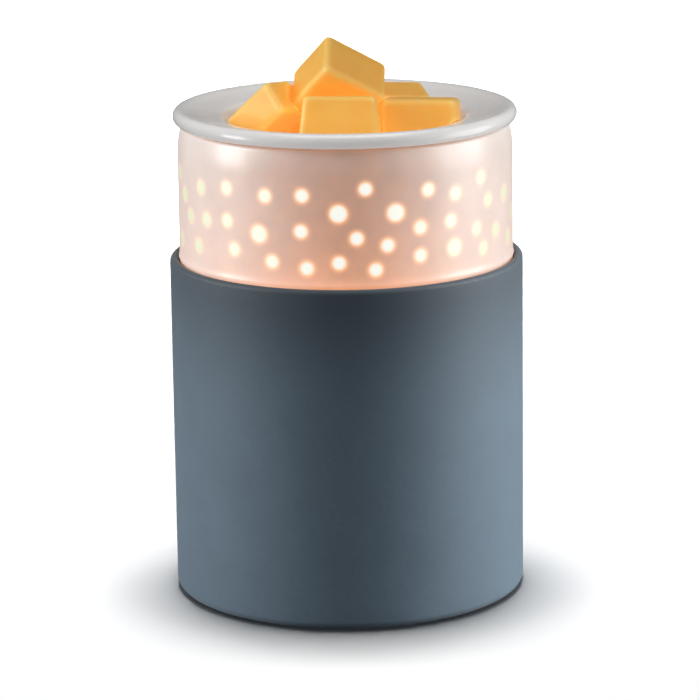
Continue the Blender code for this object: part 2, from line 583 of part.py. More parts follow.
def make_dish(glaze):
    """Rim, well and a skirt below that centres the dish in the shade."""
    under = SHADE_TOP + GAP
    crest = under + DISH_RIM_HEIGHT
    skirt_outer = SHADE_TOP_RADIUS - SHADE_WALL - SKIRT_CLEARANCE
    skirt_inner = skirt_outer - SKIRT_THICKNESS
    skirt_low = under - SKIRT_DEPTH
    bottom = WELL_FLOOR - DISH_WALL
    nose = DISH_RIM_HEIGHT / 2
    outline = [(0, bottom), (36 * MM, bottom), (40.5 * MM, bottom + 2 * MM), (43.5 * MM, bottom + 6 * MM)]
    outline += [(45.5 * MM, under), (skirt_inner, under), (skirt_inner, skirt_low), (skirt_outer, skirt_low)]
    outline += [(skirt_outer, under)]
    outline += arc((DISH_RIM_RADIUS - nose, under + nose), nose, -90, 90, 6)
    outline += [(53 * MM, crest - 1.2 * MM), (WELL_RADIUS + 1.5 * MM, crest - 3 * MM)]
    outline += [(WELL_RADIUS, crest - WELL_LIP_DROP), (WELL_RADIUS - 1.2 * MM, WELL_FLOOR + 4 * MM)]
    outline += [(WELL_RADIUS - 2.6 * MM, WELL_FLOOR + 1.2 * MM), (WELL_RADIUS - 5 * MM, WELL_FLOOR)]
    turned("wax_dish", outline + [(0, WELL_FLOOR)], glaze)


def well_space_shape():
    """The space in the well and above it that wax can fill, just clear of the glaze."""
    floor = WELL_FLOOR + GAP
    edge = SHADE_TOP + GAP + DISH_RIM_HEIGHT - WELL_LIP_DROP
    side = WELL_RADIUS - 0.6 * MM
    top = 250 * MM
    outline = [(0, floor), (WELL_RADIUS - 6 * MM, floor), (WELL_RADIUS - 3.4 * MM, floor + 1.5 * MM)]
    outline += [(WELL_RADIUS - 2 * MM, floor + 4.5 * MM), (side, edge), (side + 4 * MM, edge + 3 * MM)]
    outline += [(side + 6 * MM, top), (0, top)]
    return turned_shape(outline)


def melt_block(size, draft, growth=0.0):
    """A block with leaning sides, grown by the same length on every side."""
    half = Vector(size) * MM / 2 + Vector((growth, growth, growth))
    lean = half.z * tan(radians(draft))
    shape = bmesh.new()
    bmesh.ops.create_cube(shape, size=2.0)
    for corner in shape.verts:
        spread = -lean if corner.co.z > 0 else lean
        corner.co.x *= half.x + spread
        corner.co.y *= half.y + spread
        corner.co.z *= half.z
    return shape


def melt_space_shape(size, draft, placed, lift):
    """The space that a melt takes up, with its way up if it lifts off the others."""
    block = melt_block(size, draft, MELT_GAP)
    corners = [placed @ corner.co for corner in block.verts]
    block.free()
    if lift:
        corners += [corner + Vector((0, 0, lift)) for corner in corners]
    shape = bmesh.new()
    for corner in corners:
        shape.verts.new(corner)
    hull = bmesh.ops.convex_hull(shape, input=shape.verts)
    inside = [thing for thing in hull["geom_interior"] if isinstance(thing, bmesh.types.BMVert)]
    bmesh.ops.delete(shape, geom=inside, context="VERTS")
    return shape


def make_melts(wax):
    """Rounded blocks of wax. The ones low in the well have melted to its floor and its wall."""
    space = place("well_space", mesh_of("well_space", well_space_shape()), None)
    space.hide_render = True
    space.display_type = "WIRE"
    earlier = []
    for name, middle, angles, size, draft in MELTS:
        turn = Euler([radians(angle) for angle in angles])
        placed = Matrix.Translation(Vector(middle) * MM) @ turn.to_matrix().to_4x4()
        shape = melt_block(size, draft)
        bmesh.ops.bevel(
            shape, geom=shape.edges[:], offset=MELT_EDGE, segments=2, profile=0.5, affect="EDGES"
        )
        melt = place(name, mesh_of(name, shape), wax)
        melt.matrix_world = placed
        fit = melt.modifiers.new("well_space", "BOOLEAN")
        fit.operation = "INTERSECT"
        fit.solver = "EXACT"
        fit.object = space
        for neighbour, *taken in earlier:
            combine(melt, name + "_clear_of_" + neighbour, melt_space_shape(*taken), "DIFFERENCE")
        earlier.append((name, size, draft, placed, TOP_MELT_LIFT if name == TOP_MELT else 0))


def make_all():
    for thing in list(bpy.data.objects):
        bpy.data.objects.remove(thing, do_unlink=True)
    black_plastic = material("black_plastic", (0.03, 0.03, 0.032), 0.5)
    rubber = material("rubber", (0.04, 0.04, 0.042), 0.75)
    steel = material("zinc_steel", (0.62, 0.62, 0.6), 0.35, 1.0)
    brass = material("brass", (0.72, 0.52, 0.2), 0.3, 1.0)
    aluminium = material("aluminium", (0.75, 0.76, 0.77), 0.4, 1.0)
    white_ceramic = material("white_ceramic", (0.82, 0.8, 0.76), 0.45)
    mirror = material("reflector_coating", (0.85, 0.86, 0.88), 0.08, 1.0)
    glass = material("lamp_glass", (0.9, 0.92, 0.93), 0.05)
    insulation = material("lead_insulation", (0.75, 0.73, 0.68), 0.6)
    silicone = material("blue_grey_silicone", (0.07, 0.1, 0.13), 0.7)
    porcelain = material("white_porcelain", (0.86, 0.8, 0.76), 0.22)
    glaze = material("grey_glaze", (0.72, 0.7, 0.68), 0.18)
    wax = material("orange_wax", (0.86, 0.42, 0.09), 0.38)
    make_feet(rubber)
    make_cover(black_plastic)
    make_cover_screws(steel)
    make_base(black_plastic)
    make_sleeve(silicone)
    make_grommet(rubber)
    make_shade(porcelain)
    make_shield(aluminium)
    make_bracket(steel)
    make_holder(white_ceramic, steel, brass)
    make_lamp(white_ceramic, glass, mirror, brass)
    make_wiring(black_plastic, steel, insulation)
    make_dish(glaze)
    make_melts(wax)


make_all()
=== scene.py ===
"""Lit wax warmer on a pale floor: finer visual pieces over the CAD frame, their materials, light and camera.

Metres, +Z up, in the CAD model's own frame. The front is -Y.
"""

import json
from math import cos, exp, hypot, pi, radians, sin

import bmesh
import bpy
import numpy as np
from mathutils import Matrix, Vector, noise


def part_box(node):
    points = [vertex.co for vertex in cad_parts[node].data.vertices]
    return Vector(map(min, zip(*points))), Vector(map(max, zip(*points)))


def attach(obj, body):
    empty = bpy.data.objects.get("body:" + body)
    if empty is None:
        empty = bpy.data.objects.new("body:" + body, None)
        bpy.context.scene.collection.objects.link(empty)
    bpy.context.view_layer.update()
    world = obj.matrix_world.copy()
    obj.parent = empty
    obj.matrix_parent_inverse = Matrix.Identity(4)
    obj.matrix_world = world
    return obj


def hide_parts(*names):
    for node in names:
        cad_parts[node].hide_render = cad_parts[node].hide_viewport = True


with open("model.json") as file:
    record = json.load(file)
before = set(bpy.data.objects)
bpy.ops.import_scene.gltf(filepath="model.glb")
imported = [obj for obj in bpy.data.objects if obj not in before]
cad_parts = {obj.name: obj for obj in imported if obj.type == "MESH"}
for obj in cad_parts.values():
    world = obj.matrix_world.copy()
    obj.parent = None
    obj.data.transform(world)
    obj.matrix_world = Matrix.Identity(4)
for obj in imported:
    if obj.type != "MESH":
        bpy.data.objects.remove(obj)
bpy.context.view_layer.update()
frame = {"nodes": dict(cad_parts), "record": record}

MM = 0.001
FINE_STEPS = 192
WELD = 0.002 * MM
FLAT_ANGLE = radians(0.4)
BLACK = (0.0, 0.0, 0.0)
CORNER_SHARE = 0.49
SMALL_PART_SHARP = 35
DISH_SHARP = 50

# Camera
CAMERA_AT = (0.0, -1.213, 0.38085)
CAMERA_PITCH = 0.239
CAMERA_ROLL = -0.013
CAMERA_LENS = 179.76
CAMERA_SENSOR = 36
CAMERA_SHIFT_X = 0.00337
CAMERA_NEAR = 0.05
CAMERA_FAR = 50

# Sleeve
SLEEVE_TOP = 121.0 * MM
SLEEVE_WALL = 3.2 * MM
SLEEVE_SIDE_ROWS = 24
SLEEVE_FOOT_ROUND = 2.7 * MM
SLEEVE_LIP_THICKNESS = 1.9 * MM
SLEEVE_LIP_RADIUS = 57.0 * MM
# Painted shade: the sleeve's colour darkens towards its top.
TOP_SHADE = 1.0
TOP_SHADE_REACH = 31.0 * MM
TOP_SHADE_BEND = 1.6
TOP_SHADE_COLOUR = (0.03, 0.045, 0.058)
CORD_HEIGHT = 11.4 * MM
CORD_HOLE_RADIUS = 4.9 * MM
CORD_HOLE_MIDDLE = 60 * MM
CORD_HOLE_LENGTH = 20 * MM

# Shade: a hidden part in the sleeve, the band above it, the shoulder and the lip
SHADE_COLUMNS = 432
HIDDEN_ROWS = 10
BAND_ROWS = 58
SHOULDER_ROWS = 8
BAND_LOW = 120.6 * MM
SHADE_WALL = 3.6 * MM
SHADE_TOP_RADIUS = 57.5 * MM
SHADE_LIP_ROUND = 0.7 * MM
SHADE_INNER_LIP = 0.5 * MM
SHADE_FOOT_INSET = 0.1 * MM
SHOULDER_DEPTH = 10.0 * MM
SHOULDER_BEND = 2.2
INNER_SIDE_SLACK = 0.05 * MM
GLAZED_TOP = 0.2 * MM
FLARE = 0.45 * MM
FLARE_HEIGHT = 1.7 * MM

# Light dots: windows of thin porcelain. Gaps are in mm from a window's edge, and below 0 inside it.
WINDOW_THICKNESS = 0.9 * MM
WINDOW_SLOPE = 0.8
WINDOW_FLOOR_SLACK = 0.5 * MM
WINDOW_CLEAR_OF_TOP = 0.6 * SHOULDER_DEPTH
WINDOW_FEWEST_CORNERS = 6
WINDOW_COLOUR = (0.34, 0.37, 0.19)
FAR_FROM_DOTS = 20.0
LIGHT_SPREAD = 0.3
LIGHT_SPREAD_SIDE = 0.25
CORE_LIGHT = (0.08, 0.44, 0.68)
HALO_LIGHT = (0.7, 0.33, 0.11)
HALO_BEND = 2.6
DOT_SIDE_LOSS = 0.7

# Glow through the shade's wall: strongest low down, weaker at the sides, with light from the lip and the top
WALL_LIGHT = (0.85, 0.28, 0.075)
WALL_GLOW = 0.52
WALL_GLOW_LOSS = 0.27
WALL_GLOW_HEIGHT = 48
WALL_GLOW_BEND = 1.5
WALL_GLOW_SIDE_LOSS = 0.5
LIP_GLOW = 0.3
LIP_GLOW_REACH = 4.5
TOP_LEAK = 0.1
TOP_LEAK_REACH = 1.3 * MM

# Dish
DISH_STEPS = 256
DISH_RIM_NOSE = 2.65 * MM
WELL_RADIUS = 42.0 * MM
WELL_FLOOR_DROP = 14.4 * MM
SKIRT_OUTER = 53.3 * MM
SKIRT_THICKNESS = 2.8 * MM
SKIRT_DEPTH = 7.0 * MM

# Wax
WAX_VOXEL = 0.45 * MM
WAX_ROUNDING_PASSES = 22
# Painted glow in the wax: light of its own, stronger low down and on faces that look down, weaker on faces
# that look up.
WAX_GLOW = 0.5
WAX_GLOW_LOW = 168 * MM
WAX_GLOW_REACH = 32 * MM
WAX_GLOW_RISE_LOSS = 0.35
WAX_GLOW_TOP_LOSS = 0.4
WAX_GLOW_UNDER_GAIN = 0.25
WAX_WAVE = 0.09 * MM
WAX_WAVE_SIZE = 5.0 * MM
WAX_WAVE_MIDDLE = 0.4
WAX_WAVE_OFFSETS = (31.7, 17.3, 7.9)
EDGE_BLUR_PASSES = 6
EDGE_CURVE = 2.2 * MM
EDGE_START = 0.1

# Stage
FLOOR_HALF = 4.0
FLOOR_LIGHT = 19.3
FLOOR_FAR_LIGHT = 106.0
FLOOR_FAR_SPREAD = 74
FLOOR_FAR_SIZE = (4.4, 3.0)
BACKDROP_RADIUS = 3.6
BACKDROP_HEIGHT = 2.5
WORLD_COLOUR = (0.93, 0.95, 1.0, 1.0)
WORLD_STRENGTH = 0.08

# Soft lights for each part of the object: the point that they aim at, then the rectangular lights as
# (name, width, height, power, azimuth, elevation, distance), and the distant ones as
# (name, power, spread, azimuth, elevation). Angles are in degrees.
MIDDLE = (0, 0, 0.1)
TOP_MIDDLE = (0, 0, 0.18)
STUDIO = {
    "body": (
        MIDDLE,
        [("left", 0.4, 0.7, 11.9, -81, 20, 0.9), ("right", 0.6, 0.8, 16.6, 87, 20, 0.8)],
        [("fill", 0.28, 160, 0, 25), ("back", 0.4, 160, 180, 25)],
    ),
    "shade": (
        MIDDLE,
        [("left", 0.4, 0.7, 13.2, -82, 20, 0.9), ("right", 0.6, 0.8, 13.0, 84, 20, 0.8)],
        [("fill", 0.24, 160, 0, 25), ("back", 0.35, 160, 180, 25)],
    ),
    "dish": (
        TOP_MIDDLE,
        [
            ("left", 0.3, 0.5, 4.5, -76, -6, 0.9),
            ("right", 0.6, 0.8, 6.3, 88, -8, 0.8),
            ("top", 0.9, 0.9, 10.3, 0, 84, 1.0),
        ],
        [("fill", 1.15, 150, 0, -38), ("back", 0.1, 160, 180, 25)],
    ),
    "wax": (
        TOP_MIDDLE,
        [("left", 0.5, 0.5, 4.4, -72, 14, 0.9), ("right", 0.5, 0.5, 2.6, 50, 55, 0.9)],
        [("fill", 0.36, 160, 0, 25), ("back", 0.35, 160, 180, 25)],
    ),
    "floor": ((0, 0, 0), [("above", 0.3, 0.3, FLOOR_LIGHT, 180, 86.8, 1.3)], []),
}


# Mesh building


def linked(name, data):
    """A new object in the scene."""
    made = bpy.data.objects.new(name, data)
    bpy.context.scene.collection.objects.link(made)
    return made


def place(name, mesh, material, body, slot, *replaced):
    """A visible piece: a mesh with its material, the body that it rides and the nodes that it stands for."""
    piece = linked(name, mesh)
    if not mesh.materials:
        mesh.materials.append(material)
    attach(piece, body)
    if replaced:
        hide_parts(*replaced)
    return piece


def smooth(mesh, sharp_degrees=40):
    mesh.shade_smooth()
    mesh.set_sharp_from_angle(angle=radians(sharp_degrees))
    return mesh


def arc(centre, radius, start, end, pieces):
    turns = [radians(start + (end - start) * step / pieces) for step in range(pieces + 1)]
    return [(centre[0] + radius * cos(turn), centre[1] + radius * sin(turn)) for turn in turns]


def fillet(corners, pieces=5):
    """An open outline with rounded corners. Each corner is (radius, height, rounding)."""
    outline = []
    last = len(corners) - 1
    for index, (x, z, rounding) in enumerate(corners):
        point = Vector((x, z))
        if index in (0, last) or rounding == 0:
            outline.append(tuple(point))
            continue
        before = Vector(corners[index - 1][:2]) - point
        after = Vector(corners[index + 1][:2]) - point
        reach = min(rounding, CORNER_SHARE * before.length, CORNER_SHARE * after.length)
        start = point + before.normalized() * reach
        end = point + after.normalized() * reach
        for step in range(pieces + 1):
            t = step / pieces
            spot = start * (1 - t) ** 2 + point * 2 * t * (1 - t) + end * t * t
            outline.append(tuple(spot))
    return outline


def grid_faces(mesh_shape, rings, closed):
    """Quads between rings of vertices. A ring of one vertex is a tip on the axis."""
    followers = rings[1:] + rings[:1] if closed else rings[1:]
    for lower, upper in zip(rings, followers):
        steps = max(len(lower), len(upper))
        for step in range(steps):
            after = (step + 1) % steps
            corners = [lower[step % len(lower)], lower[after % len(lower)]]
            corners += [upper[after % len(upper)], upper[step % len(upper)]]
            distinct = list(dict.fromkeys(corners))
            if len(distinct) > 2:
                mesh_shape.faces.new(distinct)


def turned_shape(outline, steps=FINE_STEPS, closed=True):
    """A solid of revolution about Z from (radius, height) points."""
    shape = bmesh.new()
    rings = []
    for radius, height in outline:
        if radius < WELD:
            rings.append([shape.verts.new((0, 0, height))])
            continue
        turns = [2 * pi * step / steps for step in range(steps)]
        rings.append([shape.verts.new((radius * cos(turn), radius * sin(turn), height)) for turn in turns])
    grid_faces(shape, rings, closed)
    return shape


def finished(name, shape, sharp_degrees=40):
    bmesh.ops.recalc_face_normals(shape, faces=shape.faces)
    mesh = bpy.data.meshes.new(name)
    shape.to_mesh(mesh)
    shape.free()
    return smooth(mesh, sharp_degrees)


def applied(mesh, name, *settings):
    """The mesh after a stack of modifiers, each given as (type, values)."""
    helper = linked(name, mesh)
    for kind, values in settings:
        modifier = helper.modifiers.new(kind, kind)
        for key, value in values.items():
            setattr(modifier, key, value)
    bpy.context.view_layer.update()
    graph = bpy.context.evaluated_depsgraph_get()
    result = bpy.data.meshes.new_from_object(helper.evaluated_get(graph))
    bpy.data.objects.remove(helper)
    result.name = name
    return result


def welded(node):
    """A copy of a node's mesh with its faces joined along their shared edges."""
    shape = bmesh.new()
    shape.from_mesh(frame["nodes"][node].data)
    bmesh.ops.remove_doubles(shape, verts=shape.verts, dist=WELD)
    bmesh.ops.dissolve_limit(
        shape, angle_limit=FLAT_ANGLE, verts=shape.verts, edges=shape.edges, use_dissolve_boundaries=False
    )
    mesh = bpy.data.meshes.new(node)
    shape.to_mesh(mesh)
    shape.free()
    mesh.materials.clear()
    return mesh


def vertex_array(mesh, field):
    """A three-part value of every vertex, one row for each."""
    values = np.empty(len(mesh.vertices) * 3)
    mesh.vertices.foreach_get(field, values)
    return values.reshape(-1, 3)


def add_layers(mesh, **layers):
    """Stores values for each vertex, which the materials read."""
    for name, values in layers.items():
        layer = mesh.attributes.new(name, "FLOAT", "POINT")
        layer.data.foreach_set("value", values.astype(np.float32))


# Node materials


class Surface:
    """A Principled material with short names for the nodes that feed it."""

    def __init__(self, name, colour, roughness, metallic=0.0):
        self.material = bpy.data.materials.new(name)
        self.material.use_nodes = True
        self.tree = self.material.node_tree
        self.shader = self.tree.nodes["Principled BSDF"]
        self.coords = self.tree.nodes.new("ShaderNodeTexCoord").outputs["Object"]
        self.set("Base Color", (*colour, 1.0))
        self.set("Roughness", roughness)
        self.set("Metallic", metallic)
        self.material.diffuse_color = (*colour, 1.0)

    def set(self, socket, value):
        self.shader.inputs[socket].default_value = value

    def feed(self, socket, output):
        self.tree.links.new(output, self.shader.inputs[socket])

    def node(self, kind, inputs=None, **settings):
        made = self.tree.nodes.new(kind)
        for key, value in settings.items():
            setattr(made, key, value)
        for key, value in (inputs or {}).items():
            if isinstance(value, bpy.types.NodeSocket):
                self.tree.links.new(value, made.inputs[key])
            else:
                made.inputs[key].default_value = value
        return made

    def noise(self, size, detail=3.0, roughness=0.55, stretch=(1, 1, 1), distortion=0.0):
        """Noise whose features are about this size in metres."""
        scaled = self.node("ShaderNodeMapping", {"Vector": self.coords, "Scale": stretch})
        made = self.node(
            "ShaderNodeTexNoise",
            {
                "Vector": scaled.outputs["Vector"],
                "Scale": 1 / size,
                "Detail": detail,
                "Roughness": roughness,
                "Distortion": distortion,
            },
        )
        return made.outputs["Fac"]

    def span(self, value, low, high, to_low=0.0, to_high=1.0, smooth_step=False):
        made = self.node(
            "ShaderNodeMapRange",
            {"Value": value, "From Min": low, "From Max": high, "To Min": to_low, "To Max": to_high},
            interpolation_type="SMOOTHSTEP" if smooth_step else "LINEAR",
        )
        return made.outputs["Result"]

    def math(self, operation, first, second):
        return self.node("ShaderNodeMath", {0: first, 1: second}, operation=operation).outputs[0]

    def mix(self, factor, first, second, blend="MIX"):
        """Mixes two colours. Each is an output or a fixed colour."""
        made = self.tree.nodes.new("ShaderNodeMix")
        made.data_type = "RGBA"
        made.blend_type = blend
        for index, value in ((0, factor), (6, first), (7, second)):
            if isinstance(value, bpy.types.NodeSocket):
                self.tree.links.new(value, made.inputs[index])
            elif index == 0:
                made.inputs[index].default_value = value
            else:
                made.inputs[index].default_value = (*value, 1.0)
        return made.outputs[2]

    def attribute(self, name):
        return self.node("ShaderNodeAttribute", attribute_name=name).outputs["Fac"]

    def bump(self, height, depth, strength=1.0, under=None):
        made = self.node("ShaderNodeBump", {"Height": height, "Distance": depth, "Strength": strength})
        if under is not None:
            self.tree.links.new(under, made.inputs["Normal"])
        return made.outputs["Normal"]


def speckled(name, colour, other, roughness, size, metallic=0.0, grain=0.2 * MM, depth=0.01 * MM):
    """A plain moulded or cast surface: cloudy colour, uneven roughness and a fine grain."""
    made = Surface(name, colour, roughness, metallic)
    cloud = made.span(made.noise(size), 0.35, 0.65)
    made.feed("Base Color", made.mix(cloud, colour, other))
    rough = made.span(made.noise(size / 3), 0.3, 0.7, roughness * 0.85, min(1.0, roughness * 1.15))
    made.feed("Roughness", rough)
    made.feed("Normal", made.bump(made.noise(grain, 2.0), depth))
    return made


def brushed(name, colour, roughness, stretch):
    """Metal with fine lines along one direction and faint cloudy wear."""
    made = Surface(name, colour, roughness, 1.0)
    lines = made.noise(0.6 * MM, 4.0, 0.6, stretch)
    wear = made.span(made.noise(7 * MM), 0.35, 0.7)
    made.feed("Base Color", made.mix(wear, colour, tuple(0.8 * part for part in colour)))
    made.feed("Roughness", made.span(lines, 0.3, 0.7, roughness * 0.7, roughness * 1.4))
    made.feed("Normal", made.bump(lines, 0.01 * MM, 0.6))
    return made


def silicone_surface():
    made = Surface("sleeve_silicone", (0.075, 0.112, 0.147), 0.62)
    made.set("Specular IOR Level", 0.35)
    made.set("Sheen Weight", 0.12)
    made.set("Sheen Roughness", 0.5)
    mottle = made.span(made.noise(1.6 * MM, 4.0, 0.65), 0.3, 0.7)
    cloud = made.span(made.noise(22 * MM, 2.0), 0.3, 0.7)
    fine = made.mix(mottle, (0.07, 0.105, 0.138), (0.08, 0.119, 0.156))
    shade = made.mix(cloud, (0.95, 0.95, 0.95), (1.05, 1.05, 1.05))
    clouded = made.mix(1.0, fine, shade, "MULTIPLY")
    # Painted shade: the colour darkens towards the sleeve's top.
    heat = made.attribute("heat_tone")
    made.feed("Base Color", made.mix(heat, clouded, TOP_SHADE_COLOUR))
    made.feed("Roughness", made.span(mottle, 0.0, 1.0, 0.56, 0.68))
    grain = made.bump(made.noise(0.35 * MM, 2.0), 0.02 * MM, 0.5)
    made.feed("Normal", made.bump(made.noise(2.4 * MM, 3.0), 0.03 * MM, 0.6, grain))
    return made


def porcelain_surface():
    """Glazed translucent porcelain: bright windows with a warm halo, and a warm glow through the wall."""
    made = Surface("shade_porcelain", (0.41, 0.4, 0.39), 0.34)
    made.set("Specular IOR Level", 0.35)
    made.set("Coat Weight", 0.12)
    made.set("Coat Roughness", 0.24)
    made.set("Coat IOR", 1.5)
    gap = made.attribute("dot_gap")
    power = made.attribute("dot_power")
    wall_glow = made.attribute("wall_glow")
    cloud = made.span(made.noise(14 * MM, 2.0), 0.3, 0.7)
    body = made.mix(cloud, (0.395, 0.385, 0.372), (0.43, 0.42, 0.407))
    inside = made.span(gap, -0.7, 0.25, 1.0, 0.0, True)
    made.feed("Base Color", made.mix(inside, body, WINDOW_COLOUR))
    core = made.math("MULTIPLY", made.span(gap, -1.0, 0.35, 1.0, 0.0, True), power)
    halo_reach = made.span(gap, -0.3, 2.1, 1.0, 0.0)
    halo = made.math("MULTIPLY", made.math("POWER", halo_reach, HALO_BEND), power)
    uneven = made.span(made.noise(9 * MM, 3.0), 0.25, 0.75, 0.85, 1.15)
    wall = made.math("MULTIPLY", wall_glow, uneven)
    light = made.mix(wall, BLACK, WALL_LIGHT)
    light = made.mix(inside, light, BLACK)
    light = made.mix(halo, light, HALO_LIGHT, "ADD")
    light = made.mix(core, light, CORE_LIGHT, "ADD")
    made.feed("Emission Color", light)
    made.set("Emission Strength", 1.0)
    ripple = made.noise(6 * MM, 2.0)
    made.feed("Normal", made.bump(ripple, 0.03 * MM, 0.35))
    made.feed("Coat Normal", made.bump(ripple, 0.03 * MM, 0.2))
    return made


def bisque_surface():
    """The unglazed inside of the shade, with a painted warm glow in its thin windows."""
    made = speckled("shade_bisque", (0.72, 0.66, 0.6), (0.66, 0.59, 0.52), 0.75, 6 * MM)
    gap = made.attribute("dot_gap")
    inside = made.span(gap, -0.6, 0.2, 1.0, 0.0, True)
    # Painted glow: the thin windows shine warm on the inside.
    made.feed("Emission Color", made.mix(inside, BLACK, (0.5, 0.36, 0.18)))
    made.set("Emission Strength", 1.0)
    return made


def glaze_surface():
    made = Surface("dish_glaze", (0.7, 0.68, 0.665), 0.26)
    made.set("Specular IOR Level", 0.35)
    made.set("Coat Weight", 0.12)
    made.set("Coat Roughness", 0.04)
    made.set("Coat IOR", 1.5)
    cloud = made.span(made.noise(18 * MM, 3.0), 0.3, 0.7)
    made.feed("Base Color", made.mix(cloud, (0.685, 0.668, 0.655), (0.715, 0.698, 0.685)))
    made.feed("Roughness", made.span(made.noise(4 * MM), 0.3, 0.7, 0.16, 0.24))
    ripple = made.noise(7 * MM, 2.0)
    made.feed("Normal", made.bump(ripple, 0.03 * MM, 0.3))
    made.feed("Coat Normal", made.bump(ripple, 0.03 * MM, 0.2))
    return made


def wax_surface():
    """Soft translucent wax with a painted highlight, paler and faintly glowing, along its rounded edges, and
    faint casting marks.
    """
    made = Surface("orange_wax", (0.93, 0.52, 0.09), 0.42)
    made.set("Subsurface Weight", 0.65)
    made.set("Subsurface Radius", (3.2, 1.1, 0.35))
    made.set("Subsurface Scale", MM)
    made.set("Specular IOR Level", 0.7)
    edge = made.attribute("edge_wear")
    cloud = made.span(made.noise(7 * MM, 3.0), 0.32, 0.68)
    body = made.mix(cloud, (0.9, 0.49, 0.075), (0.95, 0.54, 0.1))
    # Painted highlight: the rounded edges get a paler colour.
    made.feed("Base Color", made.mix(edge, body, (0.97, 0.68, 0.2)))
    # Painted glow: the wax is given light of its own.
    glow = made.attribute("wax_glow")
    warm = made.mix(glow, BLACK, (0.6, 0.26, 0.04))
    # A faint painted glow along the rounded edges is added to the emission.
    made.feed("Emission Color", made.mix(made.math("MULTIPLY", edge, 0.06), warm, (0.8, 0.75, 0.3), "ADD"))
    made.set("Emission Strength", 1.0)
    made.feed("Roughness", made.span(made.noise(2.2 * MM, 3.0), 0.3, 0.7, 0.36, 0.5))
    pits = made.bump(made.noise(0.9 * MM, 3.0), 0.02 * MM, 0.5)
    made.feed("Normal", made.bump(made.noise(5 * MM, 2.0), 0.08 * MM, 0.5, pits))
    return made


def glass_surface():
    made = Surface("lamp_glass", (0.95, 0.96, 0.97), 0.04)
    made.set("Transmission Weight", 0.92)
    made.set("IOR", 1.48)
    rings = made.noise(3 * MM, 2.0)
    made.feed("Roughness", made.span(rings, 0.3, 0.7, 0.03, 0.12))
    made.feed("Normal", made.bump(rings, 0.05 * MM, 0.5))
    return made


def glow_surface():
    made = Surface("lamp_glow", (1.0, 0.86, 0.6), 0.2)
    hot = made.span(made.noise(3 * MM), 0.3, 0.7)
    made.feed("Emission Color", made.mix(hot, (1.0, 0.72, 0.4), (1.0, 0.82, 0.52)))
    made.set("Emission Strength", 14.0)
    return made


def all_surfaces():
    return {
        "feet_rubber": speckled("feet_rubber", (0.035, 0.036, 0.038), (0.05, 0.05, 0.052), 0.78, 2 * MM),
        "black_plastic": speckled("black_plastic", (0.026, 0.026, 0.028), (0.034, 0.034, 0.036), 0.5, 5 * MM),
        "zinc_steel": brushed("zinc_steel", (0.62, 0.62, 0.6), 0.34, (1, 1, 9)),
        "sleeve_silicone": silicone_surface(),
        "shade_porcelain": porcelain_surface(),
        "shield_aluminium": brushed("shield_aluminium", (0.78, 0.79, 0.8), 0.36, (9, 1, 1)),
        "holder_ceramic": speckled("holder_ceramic", (0.8, 0.78, 0.73), (0.72, 0.69, 0.64), 0.5, 1.2 * MM),
        "brass": brushed("brass", (0.74, 0.54, 0.22), 0.28, (1, 1, 6)),
        "reflector_mirror": brushed("reflector_mirror", (0.88, 0.89, 0.9), 0.1, (1, 1, 1)),
        "lamp_glass": glass_surface(),
        "lamp_glow": glow_surface(),
        "lead_insulation": speckled("lead_insulation", (0.74, 0.72, 0.67), (0.6, 0.58, 0.52), 0.7, 0.5 * MM),
        "dish_glaze": glaze_surface(),
        "orange_wax": wax_surface(),
    }


# Pieces


def cord_hole():
    """The outlet at the back of the sleeve, as a solid to cut it with."""
    hole = bmesh.new()
    bmesh.ops.create_cone(
        hole,
        cap_ends=True,
        segments=48,
        radius1=CORD_HOLE_RADIUS,
        radius2=CORD_HOLE_RADIUS,
        depth=CORD_HOLE_LENGTH,
        matrix=Matrix.Translation((0, CORD_HOLE_MIDDLE, CORD_HEIGHT)) @ Matrix.Rotation(-pi / 2, 4, "X"),
    )
    return linked("cord_hole", finished("cord_hole", hole))


def make_sleeve(surface):
    low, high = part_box("outer_sleeve")
    outer = high.x
    inner = outer - SLEEVE_WALL
    lip_round = SLEEVE_WALL / 2
    foot_centre = (outer - SLEEVE_FOOT_ROUND, low.z + SLEEVE_FOOT_ROUND)
    lip_centre = (outer - lip_round, SLEEVE_TOP - lip_round)
    outline = [(SLEEVE_LIP_RADIUS, low.z), *arc(foot_centre, SLEEVE_FOOT_ROUND, -90, 0, 10)]
    side_low = foot_centre[1]
    for row in range(1, SLEEVE_SIDE_ROWS):
        outline.append((outer, side_low + (lip_centre[1] - side_low) * row / SLEEVE_SIDE_ROWS))
    outline += arc(lip_centre, lip_round, 0, 180, 14)
    ledge = low.z + SLEEVE_LIP_THICKNESS
    outline += [(inner, ledge), (SLEEVE_LIP_RADIUS, ledge)]
    mesh = finished("sleeve_body", turned_shape(outline))
    cutter = cord_hole()
    cut = applied(mesh, "sleeve_body", ("BOOLEAN", {"operation": "DIFFERENCE", "object": cutter}))
    bpy.data.objects.remove(cutter)
    # Painted shade: darker towards the sleeve's top, fading out lower down.
    below_top = np.clip(SLEEVE_TOP - vertex_array(cut, "co")[:, 2], 0, None)
    tone = TOP_SHADE * np.exp(-((below_top / TOP_SHADE_REACH) ** TOP_SHADE_BEND))
    add_layers(cut, heat_tone=tone)
    place("sleeve_body", smooth(cut), surface.material, "base", "sleeve_silicone", "outer_sleeve")


